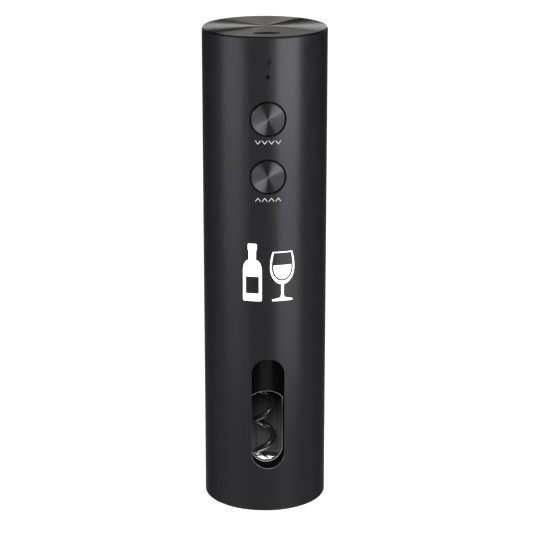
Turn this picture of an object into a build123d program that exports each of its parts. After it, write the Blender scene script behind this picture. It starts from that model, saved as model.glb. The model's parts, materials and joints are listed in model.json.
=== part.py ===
from build123d import *

import os
from math import acos, cos, hypot, pi, radians, sin, tan

# Electric wine opener: a cordless motorised corkscrew in a round aluminium tube.
# Millimetres, +Z up, origin at the middle of the base, buttons and window towards -Y.
# Worm, planetary gearbox and motor stand on the vertical axis X = Y = 0.

os.makedirs("parts", exist_ok=True)

# ---------------------------------------------------------------- driving dimensions

fit_gap = 0.05                  # radial clearance of a running fit

# outer tube
body_radius = 30.0
body_height = 236.0
tube_wall = 1.8
tube_inner_radius = body_radius - tube_wall
tube_top = 235.2
edge_break = 0.3                # small chamfer on exposed metal edges
window_bevel = 0.35             # bevel around the window and the button holes

# top cap
cap_radius = 29.5
cap_thickness = 0.6
cap_edge_break = 0.12
cap_bottom = body_height - cap_thickness
seam_radius = 28.9              # neck that leaves the dark line under the cap
port_radius = 19.9              # the charging port's distance from the axis
port_width = 12.6
port_depth = 4.7
port_floor = 233.2

# window and cork sleeve
window_width = 16.1
window_bottom = 22.4
window_top = 78.8
sleeve_inner_radius = 13.0
sleeve_outer_radius = 15.0
sleeve_bottom = 14.2
sleeve_top = 86.0
sleeve_flange_thickness = 2.8
flange_radius = 27.8
opening_half_width = 7.9
opening_top = 57.1
opening_top_rise = 3.9          # height of the shallow arch above the opening's sides
opening_bottom = 20.3
opening_bottom_drop = 5.8
opening_edge_break = 0.4
rib_count = 24
rib_height = 0.7
rib_width = 1.0

# bottle collar and base
collar_radius = 16.0
collar_wall = 1.2
collar_bottom = 1.0
collar_top = 14.0
funnel_bottom = 10.5            # above this the collar opens towards the cork sleeve
funnel_width = 3.0
collar_seat_width = 3.0
base_floor = 2.5

# worm
wire_radius = 1.5
worm_helix_radius = 4.25
worm_pitch = 17.2
worm_tip_height = 13.5
worm_tip_angle = 51.0
worm_taper_height = 6.0
worm_helix_top = 75.0
worm_shank_bottom = 84.5

# output stack under the gearbox
hub_bottom = 83.0
hub_step = 86.0
hub_top = 96.5
hub_radius = 9.0
hub_neck_radius = 6.0
set_screw_height = 93.0
set_screw_radius = 1.5
shaft_radius = 4.0
shaft_bottom = 89.5
washer_thickness = 0.8
bushing_bottom = 97.6
bushing_radius = 6.0
bushing_flange = 0.9
flange_and_washer_radius = 7.2
bushing_top = 103.0

# planetary gearbox: two equal stages share one ring gear
gear_module = 0.7
pressure_angle = radians(20)
sun_teeth = 12
planet_teeth = 18
ring_teeth = 48
addendum = 0.85 * gear_module
dedendum = 1.1 * gear_module
backlash = 0.05                 # taken from every flank at the pitch circle
planet_circle = gear_module * (sun_teeth + planet_teeth) / 2
planet_angles = (90, 210, 330)
gearbox_radius = 20.5
cover_bottom = bushing_bottom + bushing_flange
ring_bottom = 102.5
ring_top = 127.5
carrier_radius = 15.4
output_disc = (103.5, 106.5)
stage2_planet = (107.0, 115.0)
stage1_disc = (115.6, 118.4)
stage1_planet = (118.9, 124.9)
pin_radius = 1.5
pinion_top = 126.4
case_screw_circle = 19.05
case_screw_radius = 1.0
sun_hub_radius = 2.5
carrier_relief_radius = 2.6

# motor
motor_plate_top = 129.5
motor_radius = 13.85
motor_wall = 1.0
motor_top = 165.5
motor_shaft_radius = 1.15
motor_boss_radius = 5.0
motor_boss_height = 1.7
motor_screw_circle = 8.0
motor_screw_radius = 1.25
motor_front_wall = 1.5
bell_spigot = 1.5
bell_thickness = 2.0
terminal_circle = 9.0
terminal_thickness = 0.6
terminal_width = 2.6
magnet_inner_radius = 10.8
magnet_split = 9.0              # gap between the two magnets
rotor_radius = 10.3
rotor_bottom = 136.0
rotor_top = 158.0
commutator_radius = 3.4
commutator_length = 4.5

# buttons
button_heights = {"release": 197.0, "extract": 169.3}
button_hole_radius = 8.4
button_face_radius = 7.75
button_face_depth = 29.75       # distance of the face from the axis
button_flange_radius = 9.1
button_face_thickness = 1.3
plunger_tip = 0.5               # length of the plunger inside its switch
plunger_radius = 1.7
plunger_face = 22.7

# electronics
board_front = 18.25
board_back = 16.65
board_half_width = 11.0
board_bottom = 155.0
board_top = 231.0
switch_face = 21.5
switch_size = 6.2
led_height = 216.9
led_thickness = 0.8
light_pipe_radius = 0.65
light_pipe_back = 19.15
light_pipe_face = 29.4
chip_thickness = 1.2
board_chip_layout = (           # distance across, height, width, length
    (4.0, 164, 5.0, 4.4),
    (4.0, 180, 7.0, 7.0),
    (4.0, 206, 4.0, 5.0),
    (4.0, 216, 3.0, 3.0),
    (-5.5, 172, 3.5, 2.8),
    (-5.5, 190, 3.5, 2.8),
)
board_hole_heights = (158.5, 184.0)
battery_radius = 7.1
battery_length = 50.0
battery_bottom = 175.2
battery_offset = 5.0
battery_cap_height = 0.8
battery_cap_radius = 2.6
battery_tab_thickness = 0.15
usb_width = 8.94
usb_depth = 3.26
usb_bottom = 227.6
usb_top = 234.9
usb_wall = 0.3
usb_plug_stop = 1.8             # height of the socket's floor above its lower end
usb_tongue_width = 6.7
usb_tongue_thickness = 0.7
usb_tongue_length = 4.6

# chassis
chassis_radius = 27.9
chassis_wall = 2.0
chassis_bottom = 86.0
chassis_top = 229.0
frame_half_width = 11.6
frame_bottom = 157.0
frame_top = 223.0
frame_back = 19.9
frame_seat = 22.5               # the wall that each button spring pushes against


# ---------------------------------------------------------------- shared helpers

def finish(piece, name):
    """Label a finished piece and write its STEP file."""
    piece.part.label = name
    export_step(piece.part, f"parts/{name}.step")


def level(height):
    """Horizontal work plane at a height."""
    return Plane.XY.offset(height)


def front(depth, height=0.0):
    """Upright work plane facing -Y; depth is its distance in front of the axis."""
    return Plane(origin=(0, -depth, height), x_dir=(1, 0, 0), z_dir=(0, -1, 0))


def involute(angle):
    return tan(angle) - angle


def gear_face(teeth, tip_radius, root_radius, gap, turn=0.0):
    """Outline with involute flanks. gap comes off each flank, turn places the first tooth."""
    pitch_radius = gear_module * teeth / 2
    base_radius = pitch_radius * cos(pressure_angle)
    flank_start = max(root_radius, base_radius)
    flank_middle = (flank_start + tip_radius) / 2
    half_tooth = pi / (2 * teeth) - gap / pitch_radius + involute(pressure_angle)

    def point(tooth, radius, side):
        spread = half_tooth - involute(acos(base_radius / max(radius, base_radius)))
        angle = radians(turn) + 2 * pi * tooth / teeth + side * spread
        return (radius * cos(angle), radius * sin(angle))

    with BuildSketch() as outline:
        with BuildLine():
            for tooth in range(teeth):
                rise = [point(tooth, r, -1) for r in (flank_start, flank_middle, tip_radius)]
                fall = [point(tooth, r, 1) for r in (tip_radius, flank_middle, flank_start)]
                if root_radius < base_radius:
                    Line(point(tooth, root_radius, -1), rise[0])
                    Line(fall[-1], point(tooth, root_radius, 1))
                ThreePointArc(*rise)
                Line(rise[-1], fall[0])
                ThreePointArc(*fall)
                Line(point(tooth, root_radius, 1), point(tooth + 1, root_radius, -1))
        make_face()
    return outline.sketch


def planet_turn(angle):
    """Turn that meshes a planet standing at this angle with the ring and the sun."""
    ring_phase = angle * ring_teeth / 360 - 0.5
    return angle - ring_phase * 360 / planet_teeth


def helix_path(pitch, height, radius, place):
    """Helix that starts on the place's X axis and climbs along its Z axis."""
    with BuildLine() as turns:
        Helix(pitch, height, radius)
    return turns.line.moved(place)


def square_to(path, where):
    """Work plane across a path at 0, its start, or 1, its end."""
    return Plane(origin=path @ where, z_dir=path % where)


def cross_screw(head_radius, head_height, radius, length):
    """Pan-head screw with a cross recess, its head's seat at Z = 0, pointing down."""
    with BuildPart() as screw:
        with BuildSketch(level(-length)):
            Circle(radius)
        extrude(amount=length)
        with BuildSketch(level(0)):
            Circle(head_radius)
        extrude(amount=head_height)
        fillet(screw.edges().group_by(Axis.Z)[-1], head_height * 0.4)
        with BuildSketch(level(head_height)):
            Rectangle(head_radius * 1.1, head_radius * 0.28)
            Rectangle(head_radius * 0.28, head_radius * 1.1)
        extrude(amount=-head_height * 0.55, mode=Mode.SUBTRACT)
    return screw.part


def screw_group(name, screw, places):
    """One node that holds a copy of a screw at each place."""
    with BuildPart() as group:
        for place in places:
            add(screw.moved(place))
    finish(group, name)


def around(radius, angles, height):
    """Upright places on a circle."""
    return [
        Location((radius * cos(radians(a)), radius * sin(radians(a)), height)) for a in angles
    ]


sun_face = gear_face(
    sun_teeth,
    gear_module * sun_teeth / 2 + addendum,
    gear_module * sun_teeth / 2 - dedendum,
    backlash,
)
ring_space_face = gear_face(
    ring_teeth,
    gear_module * ring_teeth / 2 + dedendum,
    gear_module * ring_teeth / 2 - addendum,
    -backlash,
    turn=180 / ring_teeth,
)

case_screw_angles = (45, 135, 225, 315)
sleeve_screw_circle = 22.5
sleeve_screw_angles = (35, 145, 215, 325)
cap_screw_circle = 21.5
cap_screw_angles = (35, 145)


# ---------------------------------------------------------------- outer shell

def on_front_wall(radius):
    """Picks the edges of openings in the front of a round wall, on its outer face."""

    def test(edge):
        places = [edge @ share for share in (0, 0.25, 0.5, 1)]
        return all(
            abs(hypot(place.X, place.Y) - radius) < 0.01 and place.Y < -radius / 2
            for place in places
        )

    return test


with BuildPart() as outer_tube:
    with BuildSketch():
        Circle(body_radius)
    extrude(amount=tube_top)
    chamfer(outer_tube.edges().filter_by(GeomType.CIRCLE), edge_break)
    with BuildSketch():
        Circle(tube_inner_radius)
    extrude(amount=tube_top, mode=Mode.SUBTRACT)
    with BuildSketch(front(0, (window_bottom + window_top) / 2)):
        SlotOverall(window_top - window_bottom, window_width, rotation=90)
    extrude(amount=body_radius + 1, mode=Mode.SUBTRACT)
    with BuildSketch(front(0)):
        for height in button_heights.values():
            with Locations((0, height)):
                Circle(button_hole_radius)
        with Locations((0, led_height)):
            Circle(light_pipe_radius + fit_gap)
    extrude(amount=body_radius + 1, mode=Mode.SUBTRACT)
    chamfer(outer_tube.edges().filter_by(on_front_wall(body_radius)), window_bevel)
finish(outer_tube, "outer_tube")

with BuildPart() as top_cap:
    with BuildSketch(level(cap_bottom)):
        Circle(cap_radius)
    extrude(amount=cap_thickness)
    chamfer(top_cap.edges().group_by(Axis.Z)[-1], cap_edge_break)
    with BuildSketch(level(cap_bottom)):
        with Locations((0, -port_radius)):
            SlotOverall(port_width, port_depth)
    extrude(amount=cap_thickness, mode=Mode.SUBTRACT)
finish(top_cap, "top_cap")

with BuildPart() as cap_carrier:
    with BuildSketch(level(chassis_top)):
        Circle(chassis_radius)
    extrude(amount=tube_top - chassis_top)
    with BuildSketch(level(tube_top)):
        Circle(seam_radius)
    extrude(amount=cap_bottom - tube_top)
    with BuildSketch(level(port_floor)):
        with Locations((0, -port_radius)):
            SlotOverall(port_width, port_depth)
    extrude(amount=cap_bottom - port_floor, mode=Mode.SUBTRACT)
    with BuildSketch(level(chassis_top)):
        with Locations((0, -port_radius)):
            SlotOverall(usb_width + 0.2, usb_depth + 0.2)
        with Locations((0, -(board_front + board_back) / 2)):
            Rectangle(2 * board_half_width + 0.6, board_front - board_back + 0.4)
    extrude(amount=board_top + 0.4 - chassis_top, mode=Mode.SUBTRACT)
    with BuildSketch(level(board_top)):
        with Locations((0, -port_radius)):
            SlotOverall(usb_width + 0.1, usb_depth + 0.1)
    extrude(amount=port_floor - board_top, mode=Mode.SUBTRACT)
    with Locations(*around(cap_screw_circle, cap_screw_angles, cap_bottom - 0.2)):
        CounterBoreHole(1.3, 2.5, 2.0)
finish(cap_carrier, "cap_carrier")

with BuildPart() as base_ring:
    with BuildSketch():
        Circle(tube_inner_radius)
        Circle(collar_radius + collar_wall + 0.1, mode=Mode.SUBTRACT)
    extrude(amount=base_floor)
    with BuildSketch(level(base_floor)):
        Circle(tube_inner_radius)
        Circle(tube_inner_radius - 1.8, mode=Mode.SUBTRACT)
    extrude(amount=sleeve_bottom - base_floor)
    chamfer(base_ring.edges().group_by(Axis.Z)[0], 0.5)
finish(base_ring, "base_ring")

funnel_radius = collar_radius + funnel_width
seat_underside = collar_top - collar_wall
with BuildPart() as bottle_collar:
    with BuildSketch(Plane.XZ):
        with BuildLine():
            lip = Line((collar_radius + 0.6, collar_bottom), (collar_radius, collar_bottom + 1.2))
            wall = Line(lip @ 1, (collar_radius, funnel_bottom))
            funnel = Line(wall @ 1, (funnel_radius, collar_top))
            seat = Line(funnel @ 1, (funnel_radius + collar_seat_width, collar_top))
            edge = Line(seat @ 1, (funnel_radius + collar_seat_width, seat_underside))
            under = Line(edge @ 1, (funnel_radius + 0.5, seat_underside))
            cone = Line(under @ 1, (collar_radius + collar_wall, funnel_bottom - 0.3))
            outside = Line(cone @ 1, (collar_radius + collar_wall, collar_bottom))
            Line(outside @ 1, lip @ 0)
        make_face()
    revolve(axis=Axis.Z)
finish(bottle_collar, "bottle_collar")


# ---------------------------------------------------------------- cork chamber

with BuildPart() as cork_sleeve:
    with BuildSketch(level(sleeve_bottom)):
        Circle(sleeve_outer_radius)
    extrude(amount=sleeve_top - sleeve_bottom)
    for flange_height in (sleeve_bottom, sleeve_top - sleeve_flange_thickness):
        with BuildSketch(level(flange_height)):
            Circle(flange_radius)
        extrude(amount=sleeve_flange_thickness)
    with BuildSketch(level(sleeve_bottom)):
        Circle(sleeve_inner_radius)
    extrude(amount=sleeve_top - sleeve_bottom, mode=Mode.SUBTRACT)
    with BuildSketch(level(sleeve_bottom + 2)):
        with PolarLocations(sleeve_inner_radius, rib_count):
            Rectangle(2 * rib_height, rib_width)
    extrude(amount=sleeve_top - sleeve_bottom - 6)
    with BuildSketch(front(0)):
        with BuildLine():
            side_top = opening_top - opening_top_rise
            side_bottom = opening_bottom + opening_bottom_drop
            right = Line((opening_half_width, side_bottom), (opening_half_width, side_top))
            crown = ThreePointArc(right @ 1, (0, opening_top), (-opening_half_width, side_top))
            left = Line(crown @ 1, (-opening_half_width, side_bottom))
            ThreePointArc(left @ 1, (0, opening_bottom), right @ 0)
        make_face()
    extrude(amount=sleeve_outer_radius + 1, mode=Mode.SUBTRACT)
    opening_edges = cork_sleeve.edges().filter_by(on_front_wall(sleeve_outer_radius))
    chamfer(opening_edges, opening_edge_break)
    screw_places = around(sleeve_screw_circle, sleeve_screw_angles, sleeve_top)
    with Locations(*screw_places):
        Hole(1.5, sleeve_flange_thickness)
finish(cork_sleeve, "cork_sleeve")

screw_group(
    "sleeve_screws",
    cross_screw(2.6, 1.6, 1.4, 7.5),
    [
        place * Location((0, 0, -sleeve_flange_thickness), (180, 0, 0))
        for place in around(sleeve_screw_circle, sleeve_screw_angles, sleeve_top)
    ],
)


# ---------------------------------------------------------------- worm and hub

def on_helix(height):
    """Place whose X axis points at the worm's wire at a height."""
    angle = worm_tip_angle + 360 * (height - worm_tip_height) / worm_pitch
    return Location((0, 0, height), (0, 0, angle))


taper_top = worm_tip_height + worm_taper_height
tip_path = helix_path(
    worm_pitch, worm_taper_height, worm_helix_radius, on_helix(worm_tip_height)
)
coil_path = helix_path(
    worm_pitch, worm_helix_top - taper_top, worm_helix_radius, on_helix(taper_top)
)
with BuildPart() as worm:
    with BuildSketch(square_to(tip_path, 0)) as point_section:
        Circle(0.15)
    with BuildSketch(square_to(tip_path, 1)) as full_section:
        Circle(wire_radius)
    sweep(
        [point_section.sketch, full_section.sketch],
        tip_path,
        multisection=True,
        is_frenet=True,
    )
    with BuildSketch(square_to(coil_path, 0)):
        Circle(wire_radius)
    sweep(path=coil_path, is_frenet=True)
    with BuildLine() as shank_path:
        Spline(
            coil_path @ 1,
            (0, 0, worm_shank_bottom),
            tangents=(coil_path % 1, (0, 0, 1)),
        )
    with BuildSketch(square_to(shank_path.line, 0)):
        Circle(wire_radius)
    sweep(path=shank_path.line)
    with BuildSketch(level(worm_shank_bottom)):
        Circle(wire_radius)
    extrude(amount=shaft_bottom - 0.5 - worm_shank_bottom)
finish(worm, "worm")

with BuildPart() as worm_hub:
    with BuildSketch(level(hub_bottom + 1.5)):
        Circle(hub_neck_radius)
    extrude(amount=hub_step - hub_bottom - 1.5)
    with BuildSketch(level(hub_step)):
        Circle(hub_radius)
    extrude(amount=hub_top - hub_step)
    chamfer(worm_hub.edges().group_by(Axis.Z)[0], 0.6)
    chamfer(worm_hub.edges().group_by(Axis.Z)[-1], 0.6)
    with BuildSketch(level(hub_bottom)):
        Circle(wire_radius + 0.02)
    extrude(amount=hub_top - hub_bottom, mode=Mode.SUBTRACT)
    with BuildSketch(level(shaft_bottom - 0.3)):
        Circle(shaft_radius + 0.02)
    extrude(amount=hub_top - shaft_bottom + 0.3, mode=Mode.SUBTRACT)
    with BuildSketch(Plane.XZ):
        with Locations((0, set_screw_height)):
            Circle(set_screw_radius)
    extrude(amount=hub_radius + 1, mode=Mode.SUBTRACT)
finish(worm_hub, "worm_hub")

with BuildPart() as hub_set_screw:
    with BuildSketch(front(shaft_radius + 0.05, set_screw_height)):
        Circle(set_screw_radius - 0.02)
    extrude(amount=hub_radius - 0.4 - shaft_radius)
    with BuildSketch(front(hub_radius - 0.35, set_screw_height)):
        RegularPolygon(set_screw_radius / 2, 6)
    extrude(amount=-2, mode=Mode.SUBTRACT)
finish(hub_set_screw, "hub_set_screw")

with BuildPart() as thrust_washer:
    with BuildSketch(level(hub_top)):
        Circle(flange_and_washer_radius)
        Circle(shaft_radius + 0.05, mode=Mode.SUBTRACT)
    extrude(amount=washer_thickness)
finish(thrust_washer, "thrust_washer")

with BuildPart() as output_bushing:
    with BuildSketch(level(bushing_bottom)):
        Circle(flange_and_washer_radius)
    extrude(amount=bushing_flange)
    with BuildSketch(level(bushing_bottom)):
        Circle(bushing_radius)
    extrude(amount=bushing_top - bushing_bottom)
    with BuildSketch(level(bushing_bottom)):
        Circle(shaft_radius + fit_gap)
    extrude(amount=bushing_top - bushing_bottom, mode=Mode.SUBTRACT)
finish(output_bushing, "output_bushing")


# ---------------------------------------------------------------- gearbox case

with BuildPart() as gearbox_cover:
    with BuildSketch(level(cover_bottom)):
        Circle(gearbox_radius)
        Circle(bushing_radius, mode=Mode.SUBTRACT)
        with PolarLocations(case_screw_circle, 4, start_angle=45):
            Circle(case_screw_radius, mode=Mode.SUBTRACT)
    extrude(amount=ring_bottom - cover_bottom)
finish(gearbox_cover, "gearbox_cover")

with BuildPart() as ring_gear_case:
    with BuildSketch(level(ring_bottom)):
        Circle(gearbox_radius)
        with PolarLocations(case_screw_circle, 4, start_angle=45):
            Circle(case_screw_radius, mode=Mode.SUBTRACT)
        add(ring_space_face, mode=Mode.SUBTRACT)
    extrude(amount=ring_top - ring_bottom)
finish(ring_gear_case, "ring_gear_case")

with BuildPart() as motor_plate:
    with BuildSketch(level(ring_top)):
        Circle(gearbox_radius)
        Circle(motor_boss_radius + 0.1, mode=Mode.SUBTRACT)
        with PolarLocations(case_screw_circle, 4, start_angle=45):
            Circle(case_screw_radius, mode=Mode.SUBTRACT)
        with PolarLocations(motor_screw_circle, 2):
            Circle(motor_screw_radius + 0.05, mode=Mode.SUBTRACT)
    extrude(amount=motor_plate_top - ring_top)
finish(motor_plate, "motor_plate")

screw_group(
    "gearbox_screws",
    cross_screw(1.4, 1.1, case_screw_radius, motor_plate_top - cover_bottom - 0.8),
    around(case_screw_circle, case_screw_angles, motor_plate_top),
)


# ---------------------------------------------------------------- gears

def carrier(name, disc, shaft_hole):
    """Disc that holds three planet pins; shaft_hole is the radius of its middle hole."""
    with BuildPart() as piece:
        with BuildSketch(level(disc[0])):
            Circle(carrier_radius)
            Circle(shaft_hole, mode=Mode.SUBTRACT)
            with PolarLocations(planet_circle, 3, start_angle=planet_angles[0]):
                Circle(pin_radius, mode=Mode.SUBTRACT)
            with PolarLocations(planet_circle, 3, start_angle=planet_angles[0] + 60):
                Circle(carrier_relief_radius, mode=Mode.SUBTRACT)
        extrude(amount=disc[1] - disc[0])
    finish(piece, name)


def planet_pins(name, disc, planet):
    """Three steel pins from the carrier disc through the planets."""
    with BuildPart() as pins:
        with BuildSketch(level(disc[0] + 0.5)):
            with PolarLocations(planet_circle, 3, start_angle=planet_angles[0]):
                Circle(pin_radius)
        extrude(amount=planet[1] + 0.3 - disc[0] - 0.5)
    finish(pins, name)


def planet_gear(name, span, angle):
    """Planet gear on its pin, in mesh with the ring gear and the sun."""
    face = gear_face(
        planet_teeth,
        gear_module * planet_teeth / 2 + addendum,
        gear_module * planet_teeth / 2 - dedendum,
        backlash,
        turn=planet_turn(angle),
    )
    centre = (planet_circle * cos(radians(angle)), planet_circle * sin(radians(angle)), span[0])
    with BuildPart() as gear:
        with BuildSketch(Plane(origin=centre)):
            add(face)
            Circle(pin_radius + fit_gap, mode=Mode.SUBTRACT)
        extrude(amount=span[1] - span[0])
    finish(gear, name)


carrier("output_carrier", output_disc, shaft_radius)
carrier("stage1_carrier", stage1_disc, sun_hub_radius)
planet_pins("output_planet_pins", output_disc, stage2_planet)
planet_pins("stage1_planet_pins", stage1_disc, stage1_planet)
for letter, angle in zip("abc", planet_angles):
    planet_gear(f"stage1_planet_{letter}", stage1_planet, angle)
    planet_gear(f"stage2_planet_{letter}", stage2_planet, angle)

with BuildPart() as output_shaft:
    with BuildSketch(level(shaft_bottom)):
        Circle(shaft_radius)
    extrude(amount=output_disc[1] - shaft_bottom)
    chamfer(output_shaft.edges().group_by(Axis.Z)[0], 0.4)
finish(output_shaft, "output_shaft")

with BuildPart() as stage2_sun:
    with BuildSketch(level(stage2_planet[0])):
        add(sun_face)
    extrude(amount=stage1_disc[0] - stage2_planet[0])
    with BuildSketch(level(stage1_disc[0])):
        Circle(sun_hub_radius)
    extrude(amount=stage1_disc[1] - stage1_disc[0])
finish(stage2_sun, "stage2_sun")

with BuildPart() as motor_pinion:
    with BuildSketch(level(stage1_planet[0])):
        add(sun_face)
        Circle(motor_shaft_radius, mode=Mode.SUBTRACT)
    extrude(amount=pinion_top - stage1_planet[0])
finish(motor_pinion, "motor_pinion")


# ---------------------------------------------------------------- motor

with BuildPart() as motor_can:
    with BuildSketch(level(motor_plate_top)):
        Circle(motor_radius)
    extrude(amount=motor_top - motor_plate_top)
    fillet(motor_can.edges().group_by(Axis.Z)[0], 0.8)
    with BuildSketch(level(motor_plate_top + motor_front_wall)):
        Circle(motor_radius - motor_wall)
    extrude(amount=motor_top - motor_plate_top - motor_front_wall, mode=Mode.SUBTRACT)
    with BuildSketch(level(motor_plate_top - motor_boss_height)):
        Circle(motor_boss_radius)
    extrude(amount=motor_boss_height)
    with BuildSketch(level(motor_plate_top - motor_boss_height)):
        Circle(motor_shaft_radius + fit_gap)
        with PolarLocations(motor_screw_circle, 2):
            Circle(motor_screw_radius)
    extrude(amount=motor_boss_height + motor_front_wall + 1, mode=Mode.SUBTRACT)
finish(motor_can, "motor_can")

with BuildPart() as motor_end_bell:
    with BuildSketch(level(motor_top - bell_spigot)):
        Circle(motor_radius - motor_wall)
    extrude(amount=bell_spigot)
    with BuildSketch(level(motor_top)):
        Circle(motor_radius - 0.4)
    extrude(amount=bell_thickness)
    with BuildSketch(level(motor_top + bell_thickness)):
        Circle(4.5)
    extrude(amount=1.5)
    with BuildSketch(level(motor_top - bell_spigot)):
        Circle(motor_shaft_radius + fit_gap)
        with PolarLocations(terminal_circle, 2):
            Rectangle(terminal_thickness, terminal_width)
    extrude(amount=bell_spigot + bell_thickness + 1.5, mode=Mode.SUBTRACT)
finish(motor_end_bell, "motor_end_bell")

with BuildPart() as motor_terminals:
    with BuildSketch(level(motor_top - 1.0)):
        with PolarLocations(terminal_circle, 2):
            Rectangle(terminal_thickness, terminal_width)
    extrude(amount=7.0)
    with BuildSketch(Plane.YZ.offset(-12)):
        with Locations((0, motor_top + 4.6)):
            Circle(0.6)
    extrude(amount=24, mode=Mode.SUBTRACT)
finish(motor_terminals, "motor_terminals")

with BuildPart() as motor_magnets:
    with BuildSketch(level(rotor_bottom - 1)):
        Circle(motor_radius - motor_wall)
        Circle(magnet_inner_radius, mode=Mode.SUBTRACT)
        Rectangle(magnet_split, 3 * motor_radius, mode=Mode.SUBTRACT)
    extrude(amount=rotor_top - rotor_bottom + 2)
finish(motor_magnets, "motor_magnets")

with BuildPart() as motor_rotor:
    with BuildSketch(level(rotor_bottom)):
        Circle(rotor_radius)
        Circle(motor_shaft_radius, mode=Mode.SUBTRACT)
        with PolarLocations(9.4, 5):
            Rectangle(3.0, 1.2, mode=Mode.SUBTRACT)
        with PolarLocations(6.6, 5):
            Circle(2.0, mode=Mode.SUBTRACT)
    extrude(amount=rotor_top - rotor_bottom)
    with BuildSketch(level(rotor_top)):
        Circle(commutator_radius)
        Circle(motor_shaft_radius, mode=Mode.SUBTRACT)
    extrude(amount=commutator_length)
finish(motor_rotor, "motor_rotor")

with BuildPart() as motor_shaft:
    with BuildSketch(level(stage1_planet[0] + 0.2)):
        Circle(motor_shaft_radius)
    extrude(amount=motor_top + 2.5 - stage1_planet[0])
finish(motor_shaft, "motor_shaft")

screw_group(
    "motor_screws",
    cross_screw(2.2, 1.2, motor_screw_radius, 3.4),
    [
        place * Location((0, 0, 0), (180, 0, 0))
        for place in around(motor_screw_circle, (0, 180), ring_top)
    ],
)


# ---------------------------------------------------------------- buttons

button_back = 26.3              # front of the flange that keeps the button behind the tube
button_flange_back = 25.1
spring_wire_radius = 0.25
spring_radius = 4.6
spring_turns = 2
spring_length = button_flange_back - frame_seat - 2 * spring_wire_radius


def button(name, height):
    """Metal-faced push button, its moulded body, switch plunger and return spring."""
    with BuildPart() as face:
        with BuildSketch(front(button_face_depth - button_face_thickness, height)):
            Circle(button_face_radius)
        extrude(amount=button_face_thickness)
        chamfer(face.edges().group_by(Axis.Y)[0], 0.25)
    finish(face, f"{name}_button_face")

    with BuildPart() as body:
        with BuildSketch(front(button_back, height)):
            Circle(button_face_radius - 0.15)
        extrude(amount=button_face_depth - button_face_thickness - button_back)
        with BuildSketch(front(button_flange_back, height)):
            Circle(button_flange_radius)
        extrude(amount=button_back - button_flange_back)
        with BuildSketch(front(plunger_face, height)):
            Circle(1.9)
        extrude(amount=button_flange_back - plunger_face)
    finish(body, f"{name}_button_body")

    with BuildPart() as plunger:
        with BuildSketch(front(switch_face - plunger_tip, height)):
            Circle(plunger_radius)
        extrude(amount=plunger_face - switch_face + plunger_tip)
    finish(plunger, f"{name}_switch_plunger")

    coil = helix_path(
        spring_length / spring_turns,
        spring_length,
        spring_radius,
        front(frame_seat + spring_wire_radius, height).location,
    )
    with BuildPart() as spring:
        with BuildSketch(square_to(coil, 0)):
            Circle(spring_wire_radius)
        sweep(path=coil, is_frenet=True)
    finish(spring, f"{name}_button_spring")


for name, height in button_heights.items():
    button(name, height)

with BuildPart() as button_frame:
    with BuildSketch(level(frame_bottom)):
        Circle(chassis_radius)
        with Locations((0, chassis_radius - frame_back)):
            Rectangle(2 * chassis_radius, 2 * chassis_radius, mode=Mode.SUBTRACT)
        with Locations((-chassis_radius - frame_half_width, 0), (chassis_radius + frame_half_width, 0)):
            Rectangle(2 * chassis_radius, 2 * chassis_radius, mode=Mode.SUBTRACT)
    extrude(amount=frame_top - frame_bottom)
    with BuildSketch(front(frame_seat)):
        for height in button_heights.values():
            with Locations((0, height)):
                Circle(button_flange_radius + 0.15)
    extrude(amount=6, mode=Mode.SUBTRACT)
    with BuildSketch(front(frame_back)):
        for height in button_heights.values():
            with Locations((0, height)):
                Rectangle(switch_size + 0.6, switch_size + 0.6)
        with Locations((0, led_height)):
            Circle(1.6)
    extrude(amount=switch_face + 0.1 - frame_back, mode=Mode.SUBTRACT)
    with BuildSketch(front(frame_back)):
        for height in button_heights.values():
            with Locations((0, height)):
                Circle(2.2)
        with Locations((0, led_height)):
            Circle(light_pipe_radius + 0.02)
    extrude(amount=9, mode=Mode.SUBTRACT)
finish(button_frame, "button_frame")


# ---------------------------------------------------------------- electronics

with BuildPart() as main_board:
    with BuildSketch(front(board_back)):
        with Locations((0, (board_bottom + board_top) / 2)):
            RectangleRounded(2 * board_half_width, board_top - board_bottom, 1.0)
        with Locations(*((0, height) for height in board_hole_heights)):
            Circle(1.3, mode=Mode.SUBTRACT)
    extrude(amount=board_front - board_back)
finish(main_board, "main_board")

with BuildPart() as switch_bodies:
    with BuildSketch(front(board_front)):
        for height in button_heights.values():
            with Locations((0, height)):
                RectangleRounded(switch_size, switch_size, 0.5)
    extrude(amount=switch_face - board_front)
    with BuildSketch(front(board_front + 1.4)):
        for height in button_heights.values():
            with Locations((0, height)):
                Circle(plunger_radius + fit_gap)
    extrude(amount=3, mode=Mode.SUBTRACT)
finish(switch_bodies, "switch_bodies")

with BuildPart() as status_led:
    with BuildSketch(front(board_front, led_height)):
        Rectangle(2.0, 1.25)
    extrude(amount=led_thickness)
finish(status_led, "status_led")

with BuildPart() as light_pipe:
    with BuildSketch(front(light_pipe_back, led_height)):
        Circle(1.4)
    extrude(amount=1.6)
    with BuildSketch(front(light_pipe_back, led_height)):
        Circle(light_pipe_radius)
    extrude(amount=light_pipe_face - light_pipe_back)
finish(light_pipe, "light_pipe")

with BuildPart() as board_chips:
    with BuildSketch(front(board_back)):
        for across, height, width, tall in board_chip_layout:
            with Locations((across, height)):
                Rectangle(width, tall)
    extrude(amount=-chip_thickness)
finish(board_chips, "board_chips")

with BuildPart() as usb_shell:
    with BuildSketch(level(usb_bottom)):
        with Locations((0, -port_radius)):
            SlotOverall(usb_width, usb_depth)
    extrude(amount=usb_top - usb_bottom)
    with BuildSketch(level(usb_bottom)):
        with Locations((0, -port_radius)):
            SlotOverall(usb_width - 2 * usb_wall, usb_depth - 2 * usb_wall)
    extrude(amount=usb_top - usb_bottom, mode=Mode.SUBTRACT)
finish(usb_shell, "usb_shell")

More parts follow.
